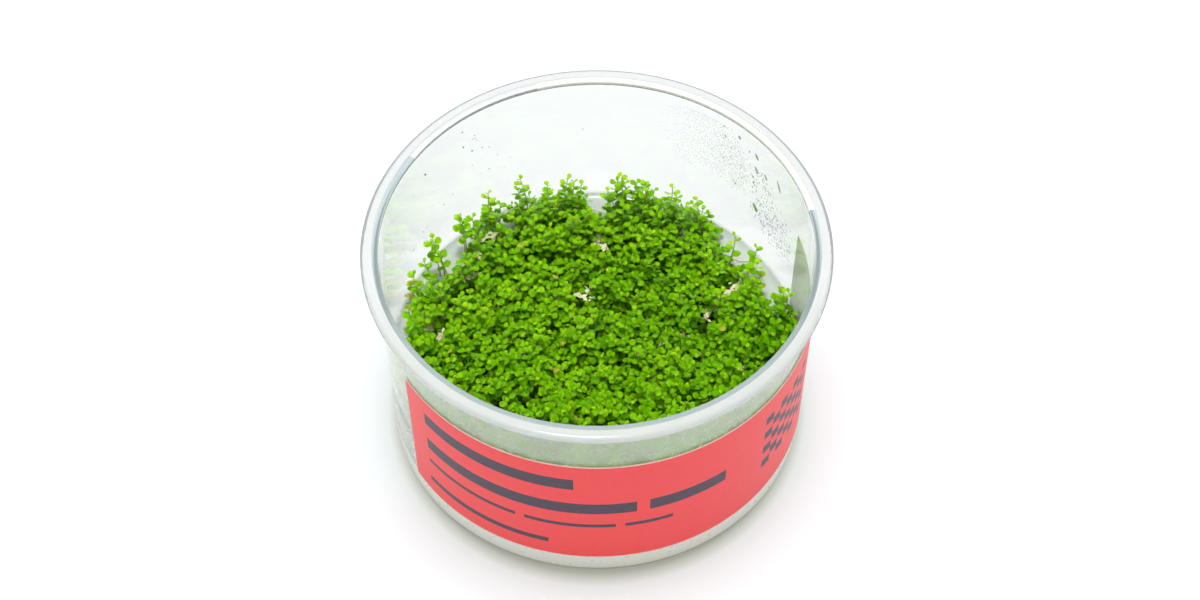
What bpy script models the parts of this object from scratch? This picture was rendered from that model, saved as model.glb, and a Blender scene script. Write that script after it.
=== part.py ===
"""Dwarf baby tears: a low carpet of tiny round leaves on nutrient gel, in an open clear cup with a wrap label.

Metres, +Z up. The origin is the middle of the cup's underside, and -Y is the front of the label.
"""

import math
import random

import bmesh
import bpy
from mathutils import Vector
from mathutils.geometry import delaunay_2d_cdt

MM = 0.001
GAP = 0.3 * MM

# Cup
RIM_RADIUS = 50.0 * MM
CUP_HEIGHT = 56.0 * MM
BASE_RADIUS = 45.4 * MM
WALL_FLARE = 0.032
WALL_THICKNESS = 0.95 * MM
FLOOR_THICKNESS = 1.2 * MM
FOOT_LIFT = 0.6 * MM
FOOT_RING_RADIUS = 41.6 * MM
OUTER_CORNER = 1.2 * MM
INNER_CORNER = 1.8 * MM
FLANGE_THICKNESS = 2.0 * MM
FLANGE_FLAT_INNER = 47.7 * MM
TURN_STEPS = 60
CORNER_STEPS = 3

# Label
LABEL_BOTTOM = 5.7 * MM
LABEL_TOP = 41.5 * MM
LABEL_THICKNESS = 0.2 * MM
LABEL_START_DEG = -59.0
LABEL_END_DEG = 108.0
LABEL_STEPS = 28

# Gel
GEL_TOP = 18.3 * MM
MENISCUS_RISE = 0.6 * MM
MENISCUS_WIDTH = 1.6 * MM

# Plant clumps
CLUMP_RINGS = ((1, 0.0, 0.0), (6, 16.0 * MM, 22.0), (11, 33.5 * MM, 9.0))
CLUMP_SHIFT = 1.3 * MM
CLUMP_SPREAD = 12.5 * MM
CLUMP_HEIGHTS = (8.2 * MM, 10.4 * MM)
NEIGHBOUR_GAP = 0.4 * MM
CANOPY_RADIUS = 44.6 * MM
BASE_SHARE = 0.8
EDGE_SHARE = 0.72
OUTLINE_STEPS = 24
OUTLINE_WOBBLE = 0.08
ROSETTE_PITCH = 4.2 * MM
ROSETTE_NUDGE = 0.5 * MM
ROSETTE_MARGIN = 1.0 * MM
ROSETTE_RISE = 1.1 * MM
ROSETTE_DIP = 0.8 * MM
ROSETTE_SHARES = (0.5, 1.0)
EDGE_RISE_SHARE = 0.5

# Bare gel that no clump covers, as x, y and radius
BARE_PATCHES = (
    (-34.5 * MM, 29.5 * MM, 6.0 * MM),
    (-44.5 * MM, 11.5 * MM, 4.0 * MM),
    (1.8 * MM, 43.5 * MM, 5.0 * MM),
    (39.5 * MM, 24.5 * MM, 7.5 * MM),
    (28.0 * MM, 14.0 * MM, 1.8 * MM),
)

# Sprigs that stand above the carpet, as x, y and z of the tip
SPRIG_TIPS = (
    (-36.5 * MM, 20.8 * MM, 32.0 * MM),
    (-31.0 * MM, 27.6 * MM, 31.5 * MM),
    (-24.5 * MM, 33.8 * MM, 32.0 * MM),
    (-17.3 * MM, 37.6 * MM, 32.5 * MM),
    (-11.2 * MM, 36.6 * MM, 31.5 * MM),
    (-6.6 * MM, 38.2 * MM, 32.0 * MM),
    (5.6 * MM, 38.4 * MM, 32.5 * MM),
    (11.0 * MM, 37.4 * MM, 31.5 * MM),
    (17.0 * MM, 36.0 * MM, 31.5 * MM),
    (22.5 * MM, 32.6 * MM, 31.0 * MM),
    (30.8 * MM, 22.4 * MM, 31.0 * MM),
    (35.4 * MM, 15.4 * MM, 30.0 * MM),
    (41.0 * MM, 7.0 * MM, 30.5 * MM),
    (-41.0 * MM, -9.0 * MM, 30.5 * MM),
    (37.5 * MM, -17.0 * MM, 30.5 * MM),
    (-20.0 * MM, -35.5 * MM, 30.5 * MM),
    (4.0 * MM, -39.0 * MM, 30.5 * MM),
)
STEM_RADIUS = 0.38 * MM
STEM_SIDES = 4
STEM_TAPER = 0.4
STEM_BEND = 0.12
STEM_DEPTH = 3.5 * MM
ROOT_SHARE = 0.85
LEAF_PAIRS = 3
PAIR_SPACING = 2.1 * MM
PAIR_BASE = 0.45 * MM
LEAF_RISE = 0.35
LEAF_THICKNESS = 0.5 * MM
LEAF_LENGTH = 2.4 * MM

# A round leaf's half width at two distances from the stem
LEAF_WIDTHS = ((0.7 * MM, 0.95 * MM), (1.7 * MM, 1.05 * MM))

# Corners of a leaf's cross-section, as shares of its half width and of its thickness
LEAF_SECTION = ((0.0, -0.5), (1.0, 0.0), (0.0, 0.5), (-1.0, 0.0))

# Colours
PLASTIC_COLOUR = (0.93, 0.96, 0.96)
LABEL_COLOUR = (0.82, 0.08, 0.09)
GEL_COLOUR = (0.74, 0.80, 0.78)
LEAF_COLOUR = (0.13, 0.40, 0.01)

SMOOTH_ANGLE = math.radians(35)
SEED = 7


def clear_scene():
    for old in list(bpy.data.objects):
        bpy.data.objects.remove(old, do_unlink=True)


def principled(name, colour, roughness, transmission=0.0, ior=1.45):
    """A Principled material of one colour."""
    material = bpy.data.materials.new(name)
    material.use_nodes = True
    shader = material.node_tree.nodes["Principled BSDF"]
    shader.inputs["Base Color"].default_value = (*colour, 1.0)
    shader.inputs["Roughness"].default_value = roughness
    shader.inputs["Transmission Weight"].default_value = transmission
    shader.inputs["IOR"].default_value = ior
    material.diffuse_color = (*colour, 1.0)
    return material


def add_object(name, bm, material=None, smooth=False):
    """Turn a bmesh into an object of triangles that point out."""
    bmesh.ops.triangulate(bm, faces=bm.faces)
    bmesh.ops.recalc_face_normals(bm, faces=bm.faces)
    mesh = bpy.data.meshes.new(name)
    bm.to_mesh(mesh)
    bm.free()
    if smooth:
        mesh.shade_smooth()
        mesh.set_sharp_from_angle(angle=SMOOTH_ANGLE)
    thing = bpy.data.objects.new(name, mesh)
    if material:
        thing.data.materials.append(material)
    bpy.context.scene.collection.objects.link(thing)
    return thing


def bridge(bm, lower, upper):
    """Quads between two closed rings of the same length."""
    count = len(lower)
    for i in range(count):
        j = (i + 1) % count
        bm.faces.new((lower[i], lower[j], upper[j], upper[i]))


def arc(centre, radius, start_deg, end_deg, steps):
    """Points along an arc in the (r, z) plane, both ends included."""
    points = []
    for i in range(steps + 1):
        angle = math.radians(start_deg + (end_deg - start_deg) * i / steps)
        points.append((centre[0] + radius * math.cos(angle), centre[1] + radius * math.sin(angle)))
    return points


def turned(name, outline, material):
    """A closed body turned about Z from an (r, z) outline whose two ends are on the axis."""
    bm = bmesh.new()
    rings = []
    for r, z in outline[1:-1]:
        ring = []
        for i in range(TURN_STEPS):
            angle = math.tau * i / TURN_STEPS
            ring.append(bm.verts.new((r * math.cos(angle), r * math.sin(angle), z)))
        rings.append(ring)
    for lower, upper in zip(rings, rings[1:]):
        bridge(bm, lower, upper)
    for ring, end in ((rings[0], outline[0]), (rings[-1], outline[-1])):
        middle = bm.verts.new((0.0, 0.0, end[1]))
        for i in range(TURN_STEPS):
            bm.faces.new((middle, ring[i], ring[(i + 1) % TURN_STEPS]))
    return add_object(name, bm, material, smooth=True)


def outer_wall(z):
    return BASE_RADIUS + WALL_FLARE * z


def inner_wall(z):
    return outer_wall(z) - WALL_THICKNESS


def inner_corner_centre():
    z = FLOOR_THICKNESS + INNER_CORNER
    return inner_wall(z) - INNER_CORNER, z


def make_cup(material):
    """The clear cup: foot ring, flared wall and a flange with a rounded edge and a flat top."""
    outer_centre = (outer_wall(OUTER_CORNER) - OUTER_CORNER, OUTER_CORNER)
    flange_radius = FLANGE_THICKNESS / 2
    flange_centre = (RIM_RADIUS - flange_radius, CUP_HEIGHT - flange_radius)
    flange_bottom = CUP_HEIGHT - FLANGE_THICKNESS
    lip_drop = FLANGE_FLAT_INNER - inner_wall(CUP_HEIGHT)
    outline = [(0.0, FOOT_LIFT), (FOOT_RING_RADIUS - FOOT_LIFT, FOOT_LIFT), (FOOT_RING_RADIUS, 0.0)]
    outline += arc(outer_centre, OUTER_CORNER, -90, 0, CORNER_STEPS)
    outline += [(outer_wall(flange_bottom), flange_bottom)]
    outline += arc(flange_centre, flange_radius, -90, 90, 2 * CORNER_STEPS - 2)
    outline += arc((FLANGE_FLAT_INNER, CUP_HEIGHT - lip_drop), lip_drop, 90, 180, CORNER_STEPS - 1)
    outline += arc(inner_corner_centre(), INNER_CORNER, 0, -90, CORNER_STEPS)
    outline += [(0.0, FLOOR_THICKNESS)]
    return turned("cup", outline, material)


def make_label(material):
    """The paper label: a thin band that follows the flared wall round the front."""
    bm = bmesh.new()
    sections = []
    for i in range(LABEL_STEPS + 1):
        turn = math.radians(LABEL_START_DEG + (LABEL_END_DEG - LABEL_START_DEG) * i / LABEL_STEPS)
        section = []
        corners = ((0.0, LABEL_BOTTOM), (1.0, LABEL_BOTTOM), (1.0, LABEL_TOP), (0.0, LABEL_TOP))
        for layer, z in corners:
            r = outer_wall(z) + GAP + layer * LABEL_THICKNESS
            section.append(bm.verts.new((r * math.sin(turn), -r * math.cos(turn), z)))
        sections.append(section)
    for near, far in zip(sections, sections[1:]):
        bridge(bm, near, far)
    bm.faces.new(sections[0])
    bm.faces.new(sections[-1])
    return add_object("label", bm, material, smooth=True)


def make_gel(material):
    """The nutrient gel: it fills the cup's foot and climbs the wall a little at its edge."""
    brim = GEL_TOP + MENISCUS_RISE
    edge = inner_wall(brim) - GAP
    bottom = FLOOR_THICKNESS + GAP
    outline = [(0.0, bottom)]
    outline += arc(inner_corner_centre(), INNER_CORNER - GAP, -90, 0, CORNER_STEPS)
    outline += [(edge, brim)]
    outline += [(edge - MENISCUS_WIDTH / 3, GEL_TOP + MENISCUS_RISE / 3)]
    outline += [(edge - MENISCUS_WIDTH, GEL_TOP), (0.0, GEL_TOP)]
    return turned("gel", outline, material)


def clump_centres(dice):
    """Where the clumps were planted: one in the middle and two rings round it, none quite in line."""
    centres = []
    for count, radius, start_deg in CLUMP_RINGS:
        for i in range(count):
            angle = math.radians(start_deg) + math.tau * i / count
            shift = Vector((dice.uniform(-1, 1), dice.uniform(-1, 1))) * CLUMP_SHIFT
            centres.append(Vector((radius * math.cos(angle), radius * math.sin(angle))) + shift)
    return centres


def reach(centre, others, way):
    """How far a clump spreads one way: to a neighbour, the cup, a bare patch or its own limit."""
    limit = CLUMP_SPREAD
    for other in others:
        across = other - centre
        toward = way.dot(across.normalized())
        if toward > 0:
            limit = min(limit, (across.length - NEIGHBOUR_GAP) / 2 / toward)
    outward = centre.dot(way)
    limit = min(limit, math.sqrt(outward**2 + CANOPY_RADIUS**2 - centre.length_squared) - outward)
    for x, y, radius in BARE_PATCHES:
        across = Vector((x, y)) - centre
        toward = across.dot(way)
        inside = radius**2 - across.length_squared + toward**2
        if toward > 0 and inside > 0:
            limit = min(limit, toward - math.sqrt(inside))
    return limit


def rosette_lattice():
    """A triangular lattice round a clump's centre, with a rosette's tip at every third place."""
    pitch = ROSETTE_PITCH / math.sqrt(3)
    rows = math.ceil(CLUMP_SPREAD / pitch) + 1
    for row in range(-rows, rows + 1):
        for column in range(-2 * rows, 2 * rows + 1):
            x = (column + row / 2) * pitch
            y = row * pitch * math.sqrt(3) / 2
            yield Vector((x, y)), (column - row) % 3 == 0


def make_clump(name, centre, others, material, dice):
    """One clump: a low cushion of leaf rosettes, narrower at its roots than at its canopy."""
    height = dice.uniform(*CLUMP_HEIGHTS)
    base_z = GEL_TOP + GAP
    outline = []
    for i in range(OUTLINE_STEPS):
        angle = math.tau * i / OUTLINE_STEPS
        way = Vector((math.cos(angle), math.sin(angle)))
        outline.append(way * reach(centre, others, way) * (1 - OUTLINE_WOBBLE * dice.random()))
    spots = list(outline)
    rises = [dice.choice((ROSETTE_RISE, -ROSETTE_DIP)) * EDGE_RISE_SHARE for spot in outline]
    for spot, is_tip in rosette_lattice():
        way = spot.normalized() if spot.length else Vector((1.0, 0.0))
        nudge = Vector((dice.uniform(-1, 1), dice.uniform(-1, 1))) * ROSETTE_NUDGE
        if spot.length < reach(centre, others, way) * (1 - OUTLINE_WOBBLE) - ROSETTE_MARGIN:
            spots.append(spot + nudge)
            rises.append(dice.uniform(*ROSETTE_SHARES) * (ROSETTE_RISE if is_tip else -ROSETTE_DIP))
    flat, _, triangles, sources, _, _ = delaunay_2d_cdt(spots, [], [range(OUTLINE_STEPS)], 1, 0.0)
    bm = bmesh.new()
    canopy = []
    edge = [None] * OUTLINE_STEPS
    for spot, source in zip(flat, sources):
        full = reach(centre, others, spot.normalized()) if spot.length else CLUMP_SPREAD
        dome = math.sqrt(max(0.0, 1 - (spot.length / full) ** 2))
        z = base_z + height * (EDGE_SHARE + (1 - EDGE_SHARE) * dome) + rises[source[0]]
        canopy.append(bm.verts.new((centre.x + spot.x, centre.y + spot.y, z)))
        if source[0] < OUTLINE_STEPS:
            edge[source[0]] = canopy[-1]
    for triangle in triangles:
        bm.faces.new([canopy[i] for i in triangle])
    foot = [bm.verts.new((*(centre + spot * BASE_SHARE), base_z)) for spot in outline]
    bridge(bm, foot, edge)
    bm.faces.new(foot)
    return add_object(name, bm, material)


def stem_point(root, tip, share):
    """A point along a stem, which leans out first and then turns up."""
    point = root.lerp(tip, share)
    point.xy += (tip.xy - root.xy) * math.sin(math.pi * share) * STEM_BEND
    return point


def grow_leaf(bm, patch, axis_point):
    """Grow one round leaf, a thin lens, out of a four-sided patch of the stem."""
    middle = sum((vert.co for vert in patch), Vector()) / len(patch)
    side = (patch[1].co - patch[0].co).normalized()
    out = middle - axis_point
    out = Vector((out.x, out.y, 0.0)).normalized()
    out = (out + Vector((0.0, 0.0, LEAF_RISE))).normalized()
    up = side.cross(out)
    if up.z < 0:
        up.negate()
    section = patch
    for distance, half_width in LEAF_WIDTHS:
        point = middle + out * distance
        ring = []
        for across, over in LEAF_SECTION:
            ring.append(bm.verts.new(point + side * across * half_width + up * over * LEAF_THICKNESS))
        bridge(bm, section, ring)
        section = ring
    tip = bm.verts.new(middle + out * LEAF_LENGTH)
    for i in range(len(section)):
        bm.faces.new((section[i], section[(i + 1) % len(section)], tip))


def make_sprig(root, tip, turn):
    """One upright sprig in one closed piece: a bent stem with crossed pairs of leaves."""
    bm = bmesh.new()
    length = (tip - root).length
    shares = [0.0]
    for pair in reversed(range(LEAF_PAIRS)):
        low = 1 - ((pair + 0.5) * PAIR_SPACING + PAIR_BASE) / length
        shares += [low, low + PAIR_BASE / length]
    rings = []
    for share in shares:
        middle = stem_point(root, tip, share)
        radius = STEM_RADIUS * (1 - STEM_TAPER * share)
        ring = []
        for side in range(STEM_SIDES):
            angle = turn + math.tau * side / STEM_SIDES
            ring.append(bm.verts.new(middle + Vector((math.cos(angle), math.sin(angle), 0.0)) * radius))
        rings.append(ring)
    for level, (lower, upper) in enumerate(zip(rings, rings[1:])):
        for side in range(STEM_SIDES):
            after = (side + 1) % STEM_SIDES
            patch = (lower[side], lower[after], upper[after], upper[side])
            if level % 2 and side % 2 == level // 2 % 2:
                grow_leaf(bm, patch, stem_point(root, tip, shares[level]))
            else:
                bm.faces.new(patch)
    bm.faces.new(rings[0])
    end = bm.verts.new(tip)
    for side in range(STEM_SIDES):
        bm.faces.new((rings[-1][side], rings[-1][(side + 1) % STEM_SIDES], end))
    return add_object("sprig", bm)


def fuse(body, piece):
    """Join a piece into the body it grows from, by Boolean union, and drop the loose piece."""
    union = body.modifiers.new("grow", "BOOLEAN")
    union.operation = "UNION"
    union.object = piece
    whole = body.evaluated_get(bpy.context.evaluated_depsgraph_get())
    mesh = bpy.data.meshes.new_from_object(whole)
    body.modifiers.clear()
    body.data = mesh
    bpy.data.objects.remove(piece, do_unlink=True)


def grow_sprigs(clumps, centres, dice):
    """Stand each sprig on the clump nearest to its tip."""
    for place in SPRIG_TIPS:
        tip = Vector(place)
        nearest = min(range(len(centres)), key=lambda i: (centres[i] - tip.xy).length)
        centre = centres[nearest]
        others = centres[:nearest] + centres[nearest + 1 :]
        way = (tip.xy - centre).normalized()
        span = min((tip.xy - centre).length, reach(centre, others, way) * ROOT_SHARE)
        root = Vector((*(centre + way * span), GEL_TOP + STEM_DEPTH))
        fuse(clumps[nearest], make_sprig(root, tip, dice.uniform(0, math.tau)))


def build():
    clear_scene()
    dice = random.Random(SEED)
    make_cup(principled("clear_plastic", PLASTIC_COLOUR, roughness=0.08, transmission=1.0, ior=1.49))
    make_label(principled("label_paper", LABEL_COLOUR, roughness=0.45))
    make_gel(principled("nutrient_gel", GEL_COLOUR, roughness=0.2, transmission=0.6, ior=1.34))
    leaf_green = principled("leaf_green", LEAF_COLOUR, roughness=0.4)
    centres = clump_centres(dice)
    clumps = []
    for i, centre in enumerate(centres):
        others = centres[:i] + centres[i + 1 :]
        clumps.append(make_clump(f"clump_{i + 1:02d}", centre, others, leaf_green, dice))
    grow_sprigs(clumps, centres, dice)


build()
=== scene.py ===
"""Looks of the dwarf baby tears in their clear cup: leaves, stems, roots, gel, label and condensation."""

import math
import random

import bmesh
import bpy
import numpy as np
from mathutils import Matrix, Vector
from mathutils.bvhtree import BVHTree
from mathutils.noise import fractal


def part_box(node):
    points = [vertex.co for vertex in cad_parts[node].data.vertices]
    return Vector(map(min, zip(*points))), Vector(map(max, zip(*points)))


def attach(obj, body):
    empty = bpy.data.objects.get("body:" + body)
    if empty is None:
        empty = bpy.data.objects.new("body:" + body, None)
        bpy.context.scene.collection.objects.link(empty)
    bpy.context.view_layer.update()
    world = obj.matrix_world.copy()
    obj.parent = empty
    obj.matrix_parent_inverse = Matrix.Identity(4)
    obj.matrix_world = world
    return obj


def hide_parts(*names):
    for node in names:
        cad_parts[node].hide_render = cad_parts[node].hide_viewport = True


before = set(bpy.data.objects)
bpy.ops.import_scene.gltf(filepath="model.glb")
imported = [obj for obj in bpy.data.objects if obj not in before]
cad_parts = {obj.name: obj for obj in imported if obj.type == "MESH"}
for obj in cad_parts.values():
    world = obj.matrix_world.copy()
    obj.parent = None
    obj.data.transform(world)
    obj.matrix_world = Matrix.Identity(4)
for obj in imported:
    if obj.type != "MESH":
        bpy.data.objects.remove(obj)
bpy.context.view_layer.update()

MM = 0.001
SEED = 41
SMOOTH_DEG, LEAF_SMOOTH_DEG = 40, 70

# The photograph's camera, in the row frame
CAMERA_PLACE = Vector((0.67, -383.3, 536.8)) * MM
CAMERA_TARGET = Vector((0.67, 0.0, 36.9)) * MM
CAMERA_LENS = 87.4
SENSOR_WIDTH = 36.0

# The floor, and its glow outwards from the cup, dimmed and tinted grey-green close to the cup as a painted
# shadow
FLOOR_HALF_SIZE = 3.0
FLOOR_SHADE_START, FLOOR_SHADE_END = 45.0 * MM, 59.0 * MM
FLOOR_SHADE_STRETCH = (1.03, 1.0, 1.0)
FLOOR_SHADE_SHIFT = (0.0, 1.2 * MM, 0.0)
FLOOR_GLOW_AND_PAINTED_SHADOW = (
    (0.0, (0.05, 0.06, 0.02)),
    (0.10, (0.20, 0.22, 0.17)),
    (0.25, (0.40, 0.44, 0.43)),
    (0.50, (0.50, 0.54, 0.55)),
    (1.0, (0.61, 0.64, 0.65)),
)

# Studio light: the backdrop's directions behind and low down, and each softbox's place, size and power
WORLD_STRENGTH, BACKDROP_STRENGTH = 0.62, 1.05
BACKDROP_BEHIND, BACKDROP_LOW = (0.25, 0.50), (0.62, 0.75)
KEY_LIGHT = (Vector((-0.05, 0.0, 1.0)), 0.12, 5.15)
OVERHEAD_LIGHT = (Vector((-0.1, -0.1, 1.5)), 1.7, 5.5)
LIGHT_TARGET = Vector((0.0, 0.0, 0.03))

# The cup's section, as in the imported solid
RIM_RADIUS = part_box("cup")[1].x
CUP_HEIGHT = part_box("cup")[1].z
BASE_RADIUS = 45.4 * MM
WALL_FLARE = 0.032
WALL_THICKNESS = 0.95 * MM
FLOOR_THICKNESS = 1.2 * MM
FOOT_LIFT = 0.6 * MM
FOOT_RING_RADIUS = 41.6 * MM
OUTER_CORNER = 1.2 * MM
INNER_CORNER = 1.8 * MM
FLANGE_THICKNESS = 2.0 * MM
FLANGE_FILLET = 0.6 * MM
FLANGE_FLAT_INNER = 47.7 * MM
LIP_STEP = 0.22 * MM
LIP_CORNER = 0.35 * MM
LIP_SKIRT = 0.3 * MM
WALL_ROW = 1.0 * MM
TURN_STEPS = 240

# The cup's materials in the order of its slots, and where they lie, as azimuths from the front or as heights
CLEAR, FLANGE, SHADED_LIP, MISTED, SHADED_EDGE, FOOT, HALF_MISTED, THINLY_MISTED, FAINTLY_MISTED = range(9)
# The lip's blue-grey band is painted shade; at the back, the lip takes flange plastic as a painted dark line
# on the left and the paler foot plastic on the right
LIP_START_DEG, LIP_END_DEG = -122.0, 102.0
PALE_START_DEG, LINE_START_DEG, LINE_END_DEG = 102.0, 196.0, 238.0
EDGE_START_DEG, EDGE_FULL_DEG = 52.0, 95.0
FOOT_MATT_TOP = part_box("label")[0].z + 0.6 * MM
MIST_BOTTOM = 27.0 * MM
MIST_START_DEG, MIST_END_DEG = -86.0, 90.0
MIST_STEP_DEG = 4.0
MIST_ZONES = (FAINTLY_MISTED, THINLY_MISTED, HALF_MISTED, MISTED)
MIST_RAGGED_SCALE, MIST_RAGGED_DEG = 9.0, 7.0

# The flange's edge in a grey of painted shade, wider towards the sides, as angles round the flange's section
# from its outermost line
EDGE_LOW_DEG, EDGE_HIGH_DEG = -5.0, 78.0

# Drops along the inner wall: each kind's range of depths, areas as corners of azimuth from the front
# in degrees and height in mm, and single drops as azimuth, height and half sizes
DROP_KIND, FINE_KIND, SINGLE_KIND = range(3)
DROP_DEPTHS = ((0.45, 0.7), (0.1, 0.22), (0.8, 1.0))
DROP_CLEARANCE = 0.01 * MM
DROP_SLANT_DEG = 33.0
DROP_TOP_MM = 53.8
FINE_MIST_COUNT = 2000
FINE_MIST_AREA = (
    (163.0, 53.0), (149.5, 54.6), (141.0, 53.9), (132.6, 47.4), (131.5, 41.8),
    (133.5, 37.0), (139.0, 36.1), (145.2, 37.4), (155.3, 35.6), (164.0, 40.0),
)
DROP_BAND_COUNT = 330
DROP_BAND_AREA = (
    (130.0, 47.8), (124.5, 47.3), (121.0, 43.3), (111.0, 39.8), (107.8, 35.3),
    (112.0, 27.2), (118.8, 28.1), (126.4, 30.0), (129.8, 36.5),
)
STRAY_DROP_COUNT = 40
STRAY_DROP_AREA = ((205.0, 262.0), (30.0, 53.0))
SINGLE_DROPS = [(azimuth, z * MM, width * MM, height * MM) for azimuth, z, width, height in (
    (136.0, 53.1, 0.42, 0.55), (129.0, 51.3, 0.46, 0.95), (128.8, 47.0, 0.46, 1.00),
    (124.7, 47.5, 0.42, 0.90), (118.3, 49.4, 0.42, 1.70), (128.4, 34.4, 0.75, 1.35),
    (141.6, 53.6, 0.24, 0.30), (141.0, 50.7, 0.28, 0.32), (138.7, 48.1, 0.22, 0.28),
    (141.4, 43.1, 0.22, 0.26), (136.7, 37.2, 0.24, 0.30), (132.0, 51.0, 0.24, 0.34),
    (130.0, 43.8, 0.30, 0.40), (129.7, 42.1, 0.28, 0.38), (236.5, 49.5, 0.25, 0.60),
    (221.0, 53.0, 0.25, 0.30), (221.0, 48.0, 0.25, 0.35), (218.0, 45.0, 0.28, 0.35),
    (184.0, 41.5, 0.16, 0.20),
)]

# The label: its materials in the order of its slots, and its bars as start and end azimuth and heights
RED, INK, CUT_EDGE, REVERSE = range(4)
LABEL_BOTTOM, LABEL_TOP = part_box("label")[0].z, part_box("label")[1].z
LABEL_START, LABEL_END = math.radians(-59.0), math.radians(108.0)
LABEL_LIFT = 0.08 * MM
LABEL_THICKNESS = 0.16 * MM
LABEL_EDGE = 0.3 * MM
LABEL_STEPS = 120
LABEL_LEAST_STEP_DEG = 0.5
LABEL_BARS = [(start, end, low * MM, high * MM) for start, end, low, high in (
    (-51.0, -6.0, 32.6, 36.4), (-51.0, 10.5, 23.4, 27.2), (14.0, 36.0, 23.4, 27.2),
    (-51.0, -22.0, 18.0, 19.2), (-19.5, 5.0, 18.0, 19.2), (7.5, 20.5, 18.0, 19.2),
    (-51.5, -13.0, 10.4, 12.0),
)]
TILES_START_DEG = 50.0
TILES_BOTTOM = 16.0 * MM
TILE_SIDE = 2.7 * MM
TILE_ROWS, TILE_COLUMNS = 7, 7

# The gel
GEL_TOP = 18.3 * MM
MENISCUS_RISE = 0.7 * MM
MENISCUS_WIDTH = 1.8 * MM
MENISCUS_STEPS = 6
MENISCUS_POWER = 2.2
GEL_CLEARANCE = 0.12 * MM
# The gel's dark mat of roots and painted shade under the carpet fades out between these radii
GEL_SHADED_MAT_INNER, GEL_SHADED_MAT_OUTER = 36.5 * MM, 39.0 * MM

# The plants: shoots stand on a shaken lattice, and lean out of their clump and towards the light
CLUMPS = sorted(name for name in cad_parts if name.startswith("clump"))
LEAF_LIMIT_RADIUS = 44.9 * MM
CARPET_RADIUS = 44.6 * MM
SHOOT_PITCH = 2.5 * MM
SHOOT_LEAN = 0.42
LIGHT_LEAN = Vector((0.0, -0.14))
HOLLOW_SIZE = 6.5 * MM
HOLLOW_DEPTH = 5.0 * MM
CLUMP_REACH = 14.0 * MM
ROOT_DEPTH = 0.2 * MM
ROOT_SHARE, EDGE_ROOT_SHARE, SPRIG_ROOT_SHARE = 0.84, 0.85, 0.8
STEM_RADIUS, STEM_STEPS = 0.15 * MM, 5
SHOOT_PAIRS, SPRIG_PAIRS, LOW_PAIRS = 5, 4, 3
PAIR_SPACING = 1.45 * MM
TALL_SPACING, EDGE_SPACING, SPRIG_SPACING, LOW_SPACING = 1.4, 1.35, 1.7, 0.9
LEAF_LENGTH = 2.06 * MM
LEAF_THICKNESS = 0.16 * MM
LEAF_OUTLINE = ((0.12, 0.06), (0.28, 0.27), (0.48, 0.44), (0.69, 0.47), (0.88, 0.32))
SHRED_OUTLINE = ((0.10, 0.10), (0.35, 0.15), (0.55, 0.27), (0.80, 0.13))
PAIR_SIZES = (0.62, 0.92, 1.0, 1.0, 0.92, 0.86)
PAIR_RISES = (0.75, 0.38, 0.22, 0.12, 0.05, 0.0)
# Greens from deep to bright: each leaf's own tone, with painted shade low in the carpet and painted light on
# shoots that stand up; the last is an old leaf
LEAF_TONES = (
    (0.074, 0.260, 0.001),
    (0.120, 0.350, 0.001),
    (0.172, 0.430, 0.001),
    (0.232, 0.510, 0.003),
    (0.335, 0.575, 0.008),
    (0.420, 0.400, 0.060),
)
TONE_OF_AGED = len(LEAF_TONES) - 1
CLUMP_SHADES = (0.28, 0.44)
# Brighter greens for sprigs at the edges and above the carpet are painted light, the darkest for low shoots
# painted shade
EDGE_SHADE, SPRIG_SHADE, LOW_SHADE = 0.55, 0.75, 0.15
AGED_SHARE = 0.004
STEM_SLOT = len(LEAF_TONES)
ROOT_SLOT = STEM_SLOT + 1
CARPET_TOP = 30.2 * MM
TALL_SHARE, TALL_SHARE_BACK, TALL_BACK_FROM = 0.08, 0.22, 22.0 * MM
TALL_LIMIT = 31.2 * MM
THIN_FROM, THIN_SHARE = 29.0 * MM, 0.22
LITTER_PER_SHOOT = 3
RUNNERS_PER_CLUMP = 12
RUNNER_SPREAD_MM, RUNNER_STRIDE_MM, RUNNER_STEPS = 6, 0.9, 7

# Torn pale shreds of roots and old leaves between the green ones, as x, y and half size
SHRED_HEIGHT = 22.3 * MM
SHRED_CLEARING = 1.15 * MM
SHRED_PLACES = [(x * MM, y * MM, size * MM) for x, y, size in (
    (0.7, 28.0, 1.1), (1.8, 26.2, 0.9), (-24.2, 29.6, 1.0), (-26.3, 23.8, 0.8), (-22.4, 21.8, 0.6),
    (-27.1, 18.2, 0.6), (-8.9, 11.8, 0.8), (-12.6, 11.6, 0.8), (-15.6, 13.9, 0.6), (-17.4, 13.8, 0.4),
    (-1.6, 14.7, 0.7), (-0.9, 11.6, 0.4), (-35.8, 4.1, 1.1), (-33.5, 1.3, 1.0), (-34.1, 6.0, 0.7),
    (-33.6, 11.0, 0.6), (-36.9, 2.7, 0.7), (-20.5, 37.2, 0.5), (29.7, 13.8, 1.1), (27.3, 11.0, 0.9),
    (25.5, 8.2, 0.8), (30.8, 15.4, 0.8), (32.6, 15.8, 0.7), (24.4, 6.2, 0.6), (32.7, -7.1, 0.8),
    (33.9, 1.6, 0.6), (19.5, 1.0, 0.6), (14.7, 0.0, 0.6), (-30.0, 17.7, 0.7), (-3.9, 12.4, 0.8),
)]

# Bare gel by the wall, as start and end azimuth in degrees from the front and inner radius
BARE_SECTORS = (
    (107.0, 118.0, 40.8 * MM),
    (118.0, 141.0, 41.6 * MM),
    (175.0, 182.5, 40.2 * MM),
    (221.0, 237.0, 40.4 * MM),
    (248.0, 265.0, 42.8 * MM),
)

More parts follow.
